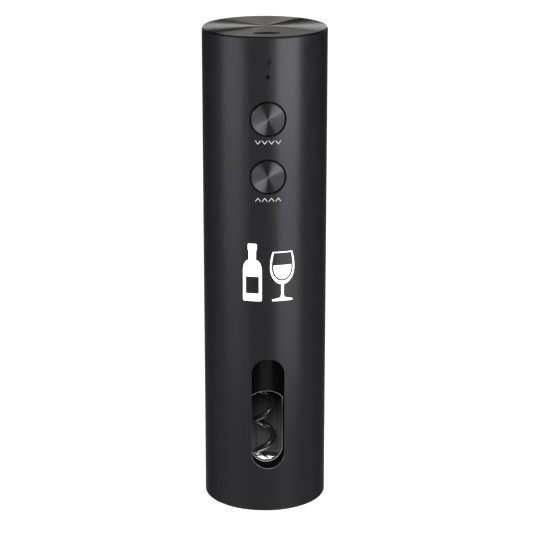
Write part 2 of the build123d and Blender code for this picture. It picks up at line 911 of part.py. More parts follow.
with BuildPart() as usb_tongue:
    with BuildSketch(level(usb_bottom)):
        with Locations((0, -port_radius)):
            SlotOverall(usb_width - 2 * usb_wall, usb_depth - 2 * usb_wall)
    extrude(amount=usb_plug_stop)
    with BuildSketch(level(usb_bottom + usb_plug_stop)):
        with Locations((0, -port_radius)):
            Rectangle(usb_tongue_width, usb_tongue_thickness)
    extrude(amount=usb_tongue_length)
finish(usb_tongue, "usb_tongue")

with BuildPart() as battery_cell:
    with BuildSketch(level(battery_bottom)):
        with Locations((0, battery_offset)):
            Circle(battery_radius)
    extrude(amount=battery_length - battery_cap_height)
    fillet(battery_cell.edges().filter_by(GeomType.CIRCLE), 0.6)
    with BuildSketch(level(battery_bottom + battery_length - battery_cap_height)):
        with Locations((0, battery_offset)):
            Circle(battery_cap_radius)
    extrude(amount=battery_cap_height)
finish(battery_cell, "battery_cell")

with BuildPart() as battery_tabs:
    with BuildSketch(level(battery_bottom + battery_length)):
        with Locations((0, battery_offset - 3.0)):
            Rectangle(4.0, 10.0)
    extrude(amount=battery_tab_thickness)
    with BuildSketch(level(battery_bottom - battery_tab_thickness)):
        with Locations((0, battery_offset - 3.0)):
            Rectangle(4.0, 10.0)
    extrude(amount=battery_tab_thickness)
finish(battery_tabs, "battery_tabs")


# ---------------------------------------------------------------- chassis

chassis_inner_radius = chassis_radius - chassis_wall
foot_height = 5.0
foot_hole = 17.0
shelf_thickness = 2.0           # of the shelves under and over the battery
cap_boss_radius = 3.2
cap_boss_height = 12.0
joint_boss_radius = 2.4
joint_boss_length = 13.0
joint_screw_radius = 1.25
joint_screw_hole = 11.0
joint_head_hole = 2.2
joint_head_seat = 10.0          # distance of the cross screws' heads from the split
bulkheads = (                   # bottom height, thickness, radius of the middle hole
    (131.5, 2.0, motor_radius + 0.3),
    (160.0, 2.0, motor_radius + 0.3),
)
joint_screw_depth = 23.15       # distance of the cross screws from the axis
joint_screws = ((1, 112), (1, 148), (1, 212), (-1, 112), (-1, 145))
pcb_bay_front = 13.5            # the bay for the board starts this far in front of the axis


def chassis_half(name, side):
    """Half of the moulded chassis; side is +1 for +X and -1 for -X."""
    with BuildPart() as half:
        with BuildSketch(level(chassis_bottom)):
            Circle(chassis_radius)
            Circle(chassis_inner_radius, mode=Mode.SUBTRACT)
        extrude(amount=chassis_top - chassis_bottom)
        with BuildSketch(level(chassis_bottom)):
            Circle(chassis_radius - 0.5)
            Circle(foot_hole, mode=Mode.SUBTRACT)
        extrude(amount=foot_height)
        for bottom, thickness, hole in bulkheads:
            with BuildSketch(level(bottom)):
                Circle(chassis_radius - 0.5)
                Circle(hole, mode=Mode.SUBTRACT)
            extrude(amount=thickness)
        with BuildSketch(level(battery_bottom - 2.2)):
            Circle(chassis_radius - 0.5)
            with Locations((0, battery_offset)):
                Circle(battery_radius - 1.5, mode=Mode.SUBTRACT)
        extrude(amount=shelf_thickness)
        with BuildSketch(level(battery_bottom + battery_length + 0.4)):
            Circle(chassis_radius - 0.5)
            with Locations((0, battery_offset)):
                Circle(4.0, mode=Mode.SUBTRACT)
        extrude(amount=shelf_thickness)
        with BuildSketch(level(chassis_top - cap_boss_height)):
            for place in around(cap_screw_circle + 0.8, cap_screw_angles, 0):
                with Locations((place.position.X, place.position.Y)):
                    Circle(cap_boss_radius)
        extrude(amount=cap_boss_height)
        for rear, height in joint_screws:
            with BuildSketch(Plane.YZ):
                with Locations((rear * joint_screw_depth, height)):
                    Circle(joint_boss_radius)
            extrude(amount=side * joint_boss_length)
        with BuildSketch(level(chassis_bottom)):
            Circle(chassis_radius)
        extrude(amount=chassis_top - chassis_bottom, mode=Mode.INTERSECT)
        with BuildSketch(level(frame_bottom - 4)):
            with Locations((0, -pcb_bay_front - chassis_radius)):
                Rectangle(2 * frame_half_width + 0.4, 2 * chassis_radius)
        extrude(amount=chassis_top - frame_bottom + 4, mode=Mode.SUBTRACT)
        for rear, height in joint_screws:
            with BuildSketch(Plane.YZ):
                with Locations((rear * joint_screw_depth, height)):
                    Circle(joint_screw_radius)
            extrude(amount=side * joint_screw_hole, mode=Mode.SUBTRACT)
            if side > 0:
                with BuildSketch(Plane.YZ.offset(joint_head_seat)):
                    with Locations((rear * joint_screw_depth, height)):
                        Circle(joint_head_hole)
                extrude(amount=8, mode=Mode.SUBTRACT)
        with Locations(*around(cap_screw_circle, cap_screw_angles, chassis_top)):
            Hole(1.25, 8)
        with BuildSketch(level(chassis_bottom)):
            for place in around(sleeve_screw_circle, sleeve_screw_angles, 0):
                with Locations((place.position.X, place.position.Y)):
                    Circle(1.4)
        extrude(amount=foot_height, mode=Mode.SUBTRACT)
        split(bisect_by=Plane.YZ, keep=Keep.TOP if side > 0 else Keep.BOTTOM)
    finish(half, name)


chassis_half("chassis_right", 1)
chassis_half("chassis_left", -1)

screw_group(
    "chassis_screws",
    cross_screw(2.1, 1.4, joint_screw_radius, 2 * joint_head_seat),
    [
        Location((joint_head_seat, rear * joint_screw_depth, height), (0, 90, 0))
        for rear, height in joint_screws
    ],
)
screw_group(
    "cap_screws",
    cross_screw(2.3, 1.3, 1.25, 11.5),
    around(cap_screw_circle, cap_screw_angles, cap_bottom - 2.2),
)
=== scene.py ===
"""Looks of the electric wine opener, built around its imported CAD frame. Metres, front towards -Y."""

import json
from math import cos, dist, pi, radians, sin

import bmesh
import bpy
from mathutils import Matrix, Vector


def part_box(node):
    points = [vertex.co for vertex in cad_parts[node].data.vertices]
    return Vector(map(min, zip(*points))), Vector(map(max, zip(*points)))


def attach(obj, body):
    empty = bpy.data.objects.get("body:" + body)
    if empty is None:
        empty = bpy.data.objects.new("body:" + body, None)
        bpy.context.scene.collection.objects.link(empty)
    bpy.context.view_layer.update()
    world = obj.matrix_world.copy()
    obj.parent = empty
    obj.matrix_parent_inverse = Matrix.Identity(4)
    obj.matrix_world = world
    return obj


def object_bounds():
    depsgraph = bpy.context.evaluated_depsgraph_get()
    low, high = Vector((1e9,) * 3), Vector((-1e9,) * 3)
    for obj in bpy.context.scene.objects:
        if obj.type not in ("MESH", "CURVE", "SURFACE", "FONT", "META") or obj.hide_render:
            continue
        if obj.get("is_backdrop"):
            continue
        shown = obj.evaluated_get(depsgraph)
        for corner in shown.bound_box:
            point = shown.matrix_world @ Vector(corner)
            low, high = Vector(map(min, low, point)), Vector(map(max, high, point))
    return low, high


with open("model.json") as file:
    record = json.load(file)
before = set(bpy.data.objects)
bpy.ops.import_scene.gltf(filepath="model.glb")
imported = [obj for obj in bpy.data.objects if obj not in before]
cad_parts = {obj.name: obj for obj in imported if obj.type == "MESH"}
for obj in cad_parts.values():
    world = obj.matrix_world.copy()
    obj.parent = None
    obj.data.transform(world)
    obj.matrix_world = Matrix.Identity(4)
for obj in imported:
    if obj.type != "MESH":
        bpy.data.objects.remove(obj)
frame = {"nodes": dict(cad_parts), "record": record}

MM = 0.001
low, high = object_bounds()

body_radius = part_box("outer_tube")[1][0]
body_height = high[2]
above_window = 84 * MM           # a height between the window and the large symbol


# ---------------------------------------------------------------- material helpers

def new_material(name, colour, metallic=0.0, roughness=0.5, **inputs):
    """Principled material. Returns it with its node tree and its shader."""
    material = bpy.data.materials.new(name)
    material.use_nodes = True
    shader = material.node_tree.nodes["Principled BSDF"]
    shader.inputs["Base Color"].default_value = (*colour, 1.0)
    shader.inputs["Metallic"].default_value = metallic
    shader.inputs["Roughness"].default_value = roughness
    for socket, value in inputs.items():
        shader.inputs[socket.replace("_", " ")].default_value = value
    return material, material.node_tree, shader


def place(tree):
    """The point being shaded, in the row frame at rest."""
    for found in tree.nodes:
        if found.bl_idname == "ShaderNodeTexCoord":
            return found.outputs["Object"]
    return tree.nodes.new("ShaderNodeTexCoord").outputs["Object"]


def stretched(tree, scale):
    """The shaded point with each axis scaled on its own."""
    mapping = tree.nodes.new("ShaderNodeMapping")
    mapping.inputs["Scale"].default_value = scale
    tree.links.new(place(tree), mapping.inputs["Vector"])
    return mapping.outputs["Vector"]


def noise(tree, grain, detail=3.0, vector=None, distortion=0.0):
    """Noise from 0 to 1 whose blotches are about one grain across, in metres."""
    texture = tree.nodes.new("ShaderNodeTexNoise")
    texture.inputs["Scale"].default_value = 1.0 / grain
    texture.inputs["Detail"].default_value = detail
    texture.inputs["Distortion"].default_value = distortion
    tree.links.new(vector or place(tree), texture.inputs["Vector"])
    return texture.outputs["Fac"]


def span(tree, value, start, end, to_start, to_end, smooth=False):
    """value between start and end, carried to between to_start and to_end."""
    turn = tree.nodes.new("ShaderNodeMapRange")
    if smooth:
        turn.interpolation_type = "SMOOTHSTEP"
    for socket, number in zip(("From Min", "From Max", "To Min", "To Max"),
                              (start, end, to_start, to_end)):
        turn.inputs[socket].default_value = number
    tree.links.new(value, turn.inputs["Value"])
    return turn.outputs["Result"]


def tint(tree, shader, value, dark, light):
    """Base colour that runs from dark to light as value goes from 0 to 1."""
    ramp = tree.nodes.new("ShaderNodeValToRGB")
    ramp.color_ramp.elements[0].color = (*dark, 1.0)
    ramp.color_ramp.elements[1].color = (*light, 1.0)
    tree.links.new(value, ramp.inputs["Fac"])
    tree.links.new(ramp.outputs["Color"], shader.inputs["Base Color"])
    return ramp


def bump(tree, shader, height, depth, strength=1.0):
    """Raises the surface by height times depth metres. Bumps stack up."""
    node = tree.nodes.new("ShaderNodeBump")
    node.inputs["Strength"].default_value = strength
    node.inputs["Distance"].default_value = depth
    tree.links.new(height, node.inputs["Height"])
    before = shader.inputs["Normal"].links
    if before:
        tree.links.new(before[0].from_socket, node.inputs["Normal"])
    tree.links.new(node.outputs["Normal"], shader.inputs["Normal"])


def height_above_floor(tree):
    """Height of the shaded point in metres, at rest."""
    split = tree.nodes.new("ShaderNodeSeparateXYZ")
    tree.links.new(place(tree), split.inputs["Vector"])
    return split.outputs["Z"]


def offset_from(tree, centre):
    """The shaded point measured from centre."""
    offset = tree.nodes.new("ShaderNodeVectorMath")
    offset.operation = "SUBTRACT"
    offset.inputs[1].default_value = centre
    tree.links.new(place(tree), offset.inputs[0])
    return offset.outputs["Vector"]


def distance_from_axis(tree, axis, centre=(0.0, 0.0, 0.0)):
    """Distance in metres of the shaded point from a line along an axis through centre."""
    flat = tree.nodes.new("ShaderNodeVectorMath")
    flat.operation = "MULTIPLY"
    flat.inputs[1].default_value = tuple(0.0 if letter == axis else 1.0 for letter in "XYZ")
    tree.links.new(offset_from(tree, centre), flat.inputs[0])
    length = tree.nodes.new("ShaderNodeVectorMath")
    length.operation = "LENGTH"
    tree.links.new(flat.outputs["Vector"], length.inputs[0])
    return length.outputs["Value"]


def calc(tree, operation, first, second):
    """One step of arithmetic on a socket and a socket or number."""
    step = tree.nodes.new("ShaderNodeMath")
    step.operation = operation
    tree.links.new(first, step.inputs[0])
    if isinstance(second, (int, float)):
        step.inputs[1].default_value = second
    else:
        tree.links.new(second, step.inputs[1])
    return step.outputs["Value"]


def soft_step(tree, value, start, end):
    """0 before start and 1 after end, with a smooth turn between."""
    return span(tree, value, start, end, 0.0, 1.0, smooth=True)


def bump_between(tree, value, start, rise, fall, end):
    """0 up to start, 1 from rise to fall, 0 again past end."""
    return calc(tree, "MULTIPLY", soft_step(tree, value, start, rise),
                soft_step(tree, value, end, fall))


# ---------------------------------------------------------------- materials

def anodised_tube():
    """Bead-blasted black anodised aluminium: satin, faintly cool, a fine even grain. The
    bevel round the window is painted a little lighter as a painted highlight."""
    material, tree, shader = new_material(
        "anodised_tube", (0.05, 0.05, 0.055), metallic=1.0, roughness=0.31,
        Specular_Tint=(0.5, 0.5, 0.53, 1.0),
    )
    cloud = noise(tree, 9 * MM, detail=4.0)
    ramp = tint(tree, shader, cloud, (0.046, 0.046, 0.0505), (0.054, 0.054, 0.0595))
    radius = distance_from_axis(tree, "Z")
    bevel = bump_between(tree, radius, body_radius - 0.45 * MM, body_radius - 0.35 * MM,
                         body_radius - 0.07 * MM, body_radius - 0.02 * MM)
    at_window = span(
        tree, height_above_floor(tree), above_window, above_window + 1 * MM, 1.0, 0.0
    )
    # Painted highlight: the bevel round the window is painted lighter than the rest of the tube.
    painted_bevel_highlight = tree.nodes.new("ShaderNodeMix")
    painted_bevel_highlight.data_type = "RGBA"
    tree.links.new(calc(tree, "MULTIPLY", bevel, at_window), painted_bevel_highlight.inputs["Factor"])
    tree.links.new(ramp.outputs["Color"], painted_bevel_highlight.inputs["A"])
    painted_bevel_highlight.inputs["B"].default_value = (0.09, 0.09, 0.093, 1.0)
    tree.links.new(painted_bevel_highlight.outputs["Result"], shader.inputs["Base Color"])
    tree.links.new(span(tree, cloud, 0.3, 0.7, 0.295, 0.325), shader.inputs["Roughness"])
    bump(tree, shader, noise(tree, 0.12 * MM, detail=2.0), 0.0025 * MM, 0.6)
    return material


def turn_about(tree, axis, centre):
    """Turn of the shaded point about an axis through centre: 0 at +X, 1 after a full turn
    that goes anticlockwise as seen from the front or from above."""
    split = tree.nodes.new("ShaderNodeSeparateXYZ")
    tree.links.new(offset_from(tree, centre), split.inputs["Vector"])
    rise = split.outputs["Y" if axis == "Z" else "Z"]
    angle = calc(tree, "ARCTAN2", rise, split.outputs["X"])
    return calc(tree, "FRACT", calc(tree, "DIVIDE", angle, 2 * pi), 0.0)


def spun_metal(name, axis, centre, painted_wedges, white, face=None):
    """Metal turned on a lathe: concentric grooves that stretch highlights into wedges, with
    light and dark wedges painted into the colour as painted highlights. The painted wedges
    are turns from +X in degrees with their grey levels. face is the height of a level face,
    below which the cut edge is dark."""
    groove_pitch = 0.22 * MM
    groove_depth = 0.004 * MM
    edge_grey = 0.05
    material, tree, shader = new_material(
        name, (0.3, 0.295, 0.29), metallic=1.0, roughness=0.36, Anisotropic=0.9,
        Anisotropic_Rotation=0.25,
    )
    radius = distance_from_axis(tree, axis, centre)
    groove = tree.nodes.new("ShaderNodeTexNoise")
    groove.noise_dimensions = "1D"
    groove.inputs["Scale"].default_value = 1.0 / groove_pitch
    groove.inputs["Detail"].default_value = 4.0
    tree.links.new(radius, groove.inputs["W"])
    # Painted highlights: the colour runs light and dark round the face with the wedges.
    painted_sheen = tree.nodes.new("ShaderNodeFloatCurve")
    curve = painted_sheen.mapping.curves[0]
    curve.points[0].location = (0.0, painted_wedges[0][1])
    curve.points[1].location = (1.0, painted_wedges[0][1])
    for degrees, level in painted_wedges[1:]:
        curve.points.new(degrees / 360, level)
    painted_sheen.mapping.update()
    tree.links.new(turn_about(tree, axis, centre), painted_sheen.inputs["Value"])
    line = span(tree, groove.outputs["Fac"], 0.2, 0.8, 0.85, 1.15)
    if face is not None:
        edge = span(
            tree, height_above_floor(tree), face - 0.1 * MM, face - 0.03 * MM, edge_grey, 1.0
        )
        line = calc(tree, "MULTIPLY", line, edge)
    tint(tree, shader, calc(tree, "MULTIPLY", painted_sheen.outputs["Value"], line),
         (0.0, 0.0, 0.0), white)
    tree.links.new(
        span(tree, groove.outputs["Fac"], 0.3, 0.7, 0.30, 0.42), shader.inputs["Roughness"]
    )
    tangent = tree.nodes.new("ShaderNodeTangent")
    tangent.direction_type = "RADIAL"
    tangent.axis = axis
    tree.links.new(tangent.outputs["Tangent"], shader.inputs["Tangent"])
    bump(tree, shader, groove.outputs["Fac"], groove_depth, 0.5)
    return material


def moulded_plastic(name, dark, light, roughness, grain=0.35, depth=0.012):
    """Injection-moulded plastic with a fine spark-eroded texture; grain and depth in mm."""
    material, tree, shader = new_material(name, light, roughness=roughness)
    cloud = noise(tree, 6 * MM, detail=5.0)
    tint(tree, shader, cloud, dark, light)
    tree.links.new(
        span(tree, cloud, 0.3, 0.7, roughness - 0.04, roughness + 0.05),
        shader.inputs["Roughness"],
    )
    bump(tree, shader, noise(tree, grain * MM, detail=3.0), depth * MM, 0.5)
    return material


def metal(name, dark, light, roughness, grain=(1.0, 1.0, 1.0), size=0.5, depth=0.004):
    """Worked metal; grain stretches its fine marks along an axis, size and depth in mm."""
    material, tree, shader = new_material(name, light, metallic=1.0, roughness=roughness)
    marks = noise(tree, size * MM, detail=4.0, vector=stretched(tree, grain))
    tint(tree, shader, marks, dark, light)
    tree.links.new(
        span(tree, marks, 0.3, 0.7, roughness - 0.05, roughness + 0.06),
        shader.inputs["Roughness"],
    )
    bump(tree, shader, marks, depth * MM, 0.5)
    return material


def sleeve_plastic():
    """Moulded sleeve: gloss black outside, satin grey inside, a pale painted highlight on its edges.
    """
    material, tree, shader = new_material(
        "gloss_black_plastic", (0.01, 0.01, 0.01), roughness=0.2, Specular_IOR_Level=0.2
    )
    radius = distance_from_axis(tree, "Z")
    ramp_start = 12.0
    ramp_end = 16.0
    ramp = tint(
        tree, shader, span(tree, radius, ramp_start * MM, ramp_end * MM, 0.0, 1.0),
        (0.065, 0.065, 0.067), (0.003, 0.003, 0.003),
    )
    # From the inner wall over the cut edge to the outer wall: radius in mm, grey level.
    #     # The pale band at 0.2 is a painted highlight on the edge.
    for at, level in ((13.2, 0.065), (13.36, 0.01), (14.56, 0.01), (14.68, 0.2),
                      (14.94, 0.2), (14.98, 0.003)):
        stop = ramp.color_ramp.elements.new((at - ramp_start) / (ramp_end - ramp_start))
        stop.color = (level, level, level * 1.03, 1.0)
    # Painted shade: the chamber is painted darker towards its top. Painted highlight: the
    #     # edge line is painted palest along the arch.
    height = height_above_floor(tree)
    painted_shade_by_height = span(tree, height, 24 * MM, 46 * MM, 1.2, 0.12)
    arch_highlight_share = span(tree, height, 49 * MM, 53 * MM, 0.3, 1.0)
    painted_rim_highlight = span(tree, radius, 14.3 * MM, 14.5 * MM, 0.0, 1.0)
    painted_rim_highlight = calc(tree, "MULTIPLY", painted_rim_highlight, arch_highlight_share)
    painted_light_and_shade = tree.nodes.new("ShaderNodeVectorMath")
    painted_light_and_shade.operation = "SCALE"
    tree.links.new(ramp.outputs["Color"], painted_light_and_shade.inputs["Vector"])
    tree.links.new(calc(tree, "MAXIMUM", painted_shade_by_height, painted_rim_highlight), painted_light_and_shade.inputs["Scale"])
    tree.links.new(painted_light_and_shade.outputs["Vector"], shader.inputs["Base Color"])
    tree.links.new(
        span(tree, radius, 13.5 * MM, 14.99 * MM, 0.42, 0.28), shader.inputs["Roughness"]
    )
    bump(tree, shader, noise(tree, 1.2 * MM, detail=3.0), 0.006 * MM, 0.5)
    return material


def coated_steel():
    """Worm wire with a dark non-stick coating, a little thin and shiny in places."""
    material, tree, shader = new_material(
        "coated_steel", (0.05, 0.05, 0.052), metallic=0.3, roughness=0.3,
        Coat_Weight=1.0, Coat_Roughness=0.1,
    )
    wear = noise(tree, 2.2 * MM, detail=6.0, distortion=0.6)
    tint(tree, shader, wear, (0.008, 0.008, 0.009), (0.03, 0.03, 0.032))
    tree.links.new(span(tree, wear, 0.35, 0.7, 0.2, 0.32), shader.inputs["Roughness"])
    bump(tree, shader, noise(tree, 0.3 * MM, detail=3.0), 0.01 * MM, 0.4)
    return material


def circuit_board():
    """Green solder mask with faint copper tracks under it."""
    material, tree, shader = new_material("circuit_board", (0.02, 0.14, 0.06), roughness=0.35)
    tracks = tree.nodes.new("ShaderNodeTexBrick")
    tracks.inputs["Scale"].default_value = 1.0 / (3 * MM)
    tracks.inputs["Mortar Size"].default_value = 0.08
    tracks.inputs["Color1"].default_value = (0.015, 0.12, 0.05, 1.0)
    tracks.inputs["Color2"].default_value = (0.02, 0.15, 0.065, 1.0)
    tracks.inputs["Mortar"].default_value = (0.03, 0.2, 0.09, 1.0)
    tree.links.new(place(tree), tracks.inputs["Vector"])
    tree.links.new(tracks.outputs["Color"], shader.inputs["Base Color"])
    bump(tree, shader, tracks.outputs["Fac"], 0.02 * MM, 0.5)
    return material


def clear_plastic():
    """Smoked light guide, faintly frosted, nearly black while the LED is off."""
    material, tree, shader = new_material(
        "clear_plastic", (0.001, 0.001, 0.001), roughness=0.3, Specular_IOR_Level=0.05
    )
    frost = noise(tree, 0.8 * MM, detail=2.0)
    tree.links.new(span(tree, frost, 0.3, 0.7, 0.12, 0.25), shader.inputs["Roughness"])
    return material


def print_ink(name, dark, light, shine=0.5):
    """Pad-printed ink: matte, with a slightly uneven film."""
    material, tree, shader = new_material(
        name, light, roughness=0.55, Specular_IOR_Level=shine
    )
    film = noise(tree, 0.6 * MM, detail=4.0)
    tint(tree, shader, film, dark, light)
    bump(tree, shader, film, 0.004 * MM, 0.4)
    return material


button_centres = {}
for button in ("release_button_face", "extract_button_face"):
    corner, far_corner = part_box(button)
    button_centres[button] = tuple((a + b) / 2 for a, b in zip(corner, far_corner))

# Painted highlights: light and dark wedges painted into the colour of the spun faces: turn
# # from +X in degrees, grey level. The pairs stand at the middles and ends of the wedges, and
# # the last one runs on to the first.
button_painted_wedges = (
    (0, 0.2), (15, 0.21), (42, 0.4), (68, 0.27), (90, 0.08), (107, 0.08), (135, 0.22),
    (180, 0.21), (197, 0.24), (222, 0.42), (252, 0.32), (270, 0.08), (287, 0.08), (308, 0.21),
)
cap_painted_wedges = (
    (0, 0.18), (14, 0.42), (32, 0.34), (45, 0.0), (57, 1.0), (80, 0.56), (120, 0.78),
    (143, 0.24), (172, 0.6), (195, 0.42), (210, 0.04), (225, 0.82), (256, 0.62), (272, 0.5),
    (287, 0.54), (308, 0.66), (328, 0.0), (345, 0.0),
)
slot_materials = {
    "anodised_tube": anodised_tube(),
    "spun_metal": spun_metal(
        "spun_metal", "Z", (0.0, 0.0, 0.0), cap_painted_wedges, (0.505, 0.495, 0.485),
        face=body_height,
    ),
    "black_plastic": moulded_plastic(
        "black_plastic", (0.006, 0.006, 0.0065), (0.012, 0.012, 0.013), 0.55
    ),
    "gloss_black_plastic": sleeve_plastic(),
    "frame_plastic": moulded_plastic(
        "frame_plastic", (0.05, 0.05, 0.053), (0.075, 0.075, 0.08), 0.55
    ),
    "polished_steel": metal(
        "polished_steel", (0.7, 0.7, 0.71), (0.85, 0.85, 0.86), 0.28, (1, 1, 8), 1.5, 0.002
    ),
    "coated_steel": coated_steel(),
    "bright_steel": metal(
        "bright_steel", (0.42, 0.42, 0.43), (0.62, 0.62, 0.63), 0.3, (1, 1, 12), 0.8
    ),
    "screw_steel": metal("screw_steel", (0.16, 0.16, 0.17), (0.3, 0.3, 0.31), 0.38),
    "sintered_bronze": metal(
        "sintered_bronze", (0.42, 0.26, 0.13), (0.6, 0.4, 0.22), 0.5, size=0.15, depth=0.02
    ),
    "brass": metal("brass", (0.6, 0.43, 0.18), (0.78, 0.6, 0.3), 0.3, (1, 1, 10), 0.6),
    "ferrite": metal("ferrite", (0.06, 0.06, 0.062), (0.13, 0.13, 0.135), 0.55, size=0.3),
    "gear_nylon": moulded_plastic(
        "gear_nylon", (0.6, 0.57, 0.48), (0.75, 0.73, 0.66), 0.45, 0.5, 0.006
    ),
    "circuit_board": circuit_board(),
    "chip_resin": moulded_plastic(
        "chip_resin", (0.015, 0.015, 0.016), (0.03, 0.03, 0.031), 0.45, 0.1, 0.006
    ),
    "battery_wrap": moulded_plastic(
        "battery_wrap", (0.03, 0.1, 0.3), (0.05, 0.15, 0.4), 0.25, 1.5, 0.01
    ),
    "clear_plastic": clear_plastic(),
}
slot_of_node = {row["node"]: row["material_slot"] for row in frame["record"]["subparts"]}
for name, cad_node in frame["nodes"].items():
    material = slot_materials[slot_of_node[name]]
    if name in button_centres:
        material = spun_metal(
            f"spun_{name}", "Y", button_centres[name], button_painted_wedges, (0.45, 0.45, 0.468)
        )
    for material_slot in cad_node.material_slots:
        material_slot.material = material


# ---------------------------------------------------------------- printed symbols

ink_thickness = 0.012 * MM
print_radius = body_radius + ink_thickness
facet = 0.8 * MM                 # the prints bend round the tube in facets this wide


def filled_outline(name, shapes):
    """Flat mesh of closed 2-D outlines in mm; an outline inside another is a hole."""
    curve = bpy.data.curves.new(name, "CURVE")
    curve.dimensions = "2D"
    curve.fill_mode = "BOTH"
    for shape in shapes:
        points = [p for p, after in zip(shape, shape[1:] + shape[:1]) if dist(p, after) > 1e-6]
        spline = curve.splines.new("POLY")
        spline.points.add(len(points) - 1)
        for target, (x, z) in zip(spline.points, points):
            target.co = (x * MM, z * MM, 0.0, 1.0)
        spline.use_cyclic_u = True
    holder = bpy.data.objects.new(name + "_outline", curve)
    bpy.context.scene.collection.objects.link(holder)
    bpy.context.view_layer.update()
    flat = bpy.data.meshes.new_from_object(holder)
    bpy.data.objects.remove(holder)
    return flat


def print_on_tube(name, shapes, ink):
    """Thin film of ink that follows the tube's face; shapes are in mm round the front line."""
    flat = filled_outline(name, shapes)
    work = bmesh.new()
    work.from_mesh(flat)
    reach = max(abs(vertex.co.x) for vertex in work.verts)
    steps = int(reach / facet) + 1
    for step in range(-steps, steps + 1):
        bmesh.ops.bisect_plane(
            work, geom=work.verts[:] + work.edges[:] + work.faces[:],
            plane_co=(step * facet, 0, 0), plane_no=(1, 0, 0),
        )
    bmesh.ops.remove_doubles(work, verts=work.verts[:], dist=1e-7)
    bmesh.ops.triangulate(work, faces=work.faces[:])
    for vertex in work.verts:
        angle = vertex.co.x / body_radius
        vertex.co = (
            print_radius * sin(angle), -print_radius * cos(angle), vertex.co.y
        )
    bmesh.ops.recalc_face_normals(work, faces=work.faces[:])
    for face in work.faces:
        if face.normal.y > 0:
            face.normal_flip()
        face.smooth = True
    mesh = bpy.data.meshes.new(name)
    work.to_mesh(mesh)
    work.free()
    mesh.materials.append(ink)
    piece = bpy.data.objects.new(name, mesh)
    bpy.context.scene.collection.objects.link(piece)
    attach(piece, "housing")


def arc(centre, radii, start, end, count=16):
    """Points along part of an ellipse, in mm and degrees."""
    turns = [radians(start + (end - start) * k / count) for k in range(count + 1)]
    return [(centre[0] + radii[0] * cos(t), centre[1] + radii[1] * sin(t)) for t in turns]


def mirrored(half):
    """A right-hand half outline, from bottom to top, closed by its mirror image."""
    return half + [(-x, z) for x, z in reversed(half)]


def moved(points, dx, dz=0.0):
    return [(x + dx, z + dz) for x, z in points]


def chevron(width, height, thick, top):
    """An arrow head that points up, with its tip at height top."""
    half = width / 2
    return [(-half, top - height - thick), (0, top - thick), (half, top - height - thick),
            (half, top - height), (0, top), (-half, top - height)]


def flipped(points, middle):
    """The outline upside down about the height middle."""
    return [(x, 2 * middle - z) for x, z in points]


white_ink = print_ink("white_ink", (0.72, 0.72, 0.72), (0.86, 0.86, 0.86))
grey_ink = print_ink("grey_ink", (0.27, 0.27, 0.28), (0.37, 0.37, 0.38))
dark_ink = print_ink("dark_ink", (0.003, 0.003, 0.003), (0.006, 0.006, 0.006), 0.1)

bolt = [(0.9, 226.8), (-0.95, 223.5), (0.25, 223.5), (-0.2, 221.2), (1.85, 224.7),
        (0.6, 224.7), (1.3, 226.8)]
print_on_tube("charging_symbol", [bolt], dark_ink)

# The bottle and the glass are drawn on the front line and then moved to either side.
bowl_widest = (0.0, 125.0)
foot_and_stem = [(0.0, 108.4), (5.0, 108.4), (5.1, 109.2), (1.2, 110.1), (0.65, 111.4)]
glass = mirrored(
    foot_and_stem + arc(bowl_widest, (6.05, 8.3), -84, 0) + arc(bowl_widest, (6.05, 13.1), 0, 37)
)
glass_bowl = mirrored(
    arc(bowl_widest, (5.25, 6.6), -90, 0) + arc(bowl_widest, (5.25, 12.2), 0, 37)
)
wine = mirrored(arc(bowl_widest, (4.45, 5.8), -90, 12))
bottle = mirrored(
    [(0.0, 108.4)] + arc((3.9, 109.1), (0.7, 0.7), -90, 0) + arc((1.8, 123.4), (2.8, 5.4), 0, 90)
    + [(1.8, 133.6), (2.2, 133.9), (2.2, 136.4), (1.8, 136.9)]
)
label = mirrored([(0.0, 112.2), (3.2, 112.2), (3.2, 120.6)])
bottle_and_glass = (
    [moved(shape, 7.0) for shape in (glass, glass_bowl, wine)]
    + [moved(shape, -7.6) for shape in (bottle, label)]
)
print_on_tube("bottle_and_glass_symbol", bottle_and_glass, white_ink)

# A row of arrow heads under each button: down lets the cork go, up draws it.
chevron_count = 4
chevron_step = 3.2
for name, height, down in (("release", 186.2, True), ("extract", 158.5, False)):
    marks = []
    for column in range(chevron_count):
        across = (column - (chevron_count - 1) / 2) * chevron_step
        mark = moved(chevron(2.5, 1.6, 0.5, height + 1.05), across)
        marks.append(flipped(mark, height) if down else mark)
    print_on_tube(f"{name}_symbol", marks, grey_ink)


# ---------------------------------------------------------------- floor, lights and camera

scene = bpy.context.scene
scene.view_settings.view_transform = "Standard"

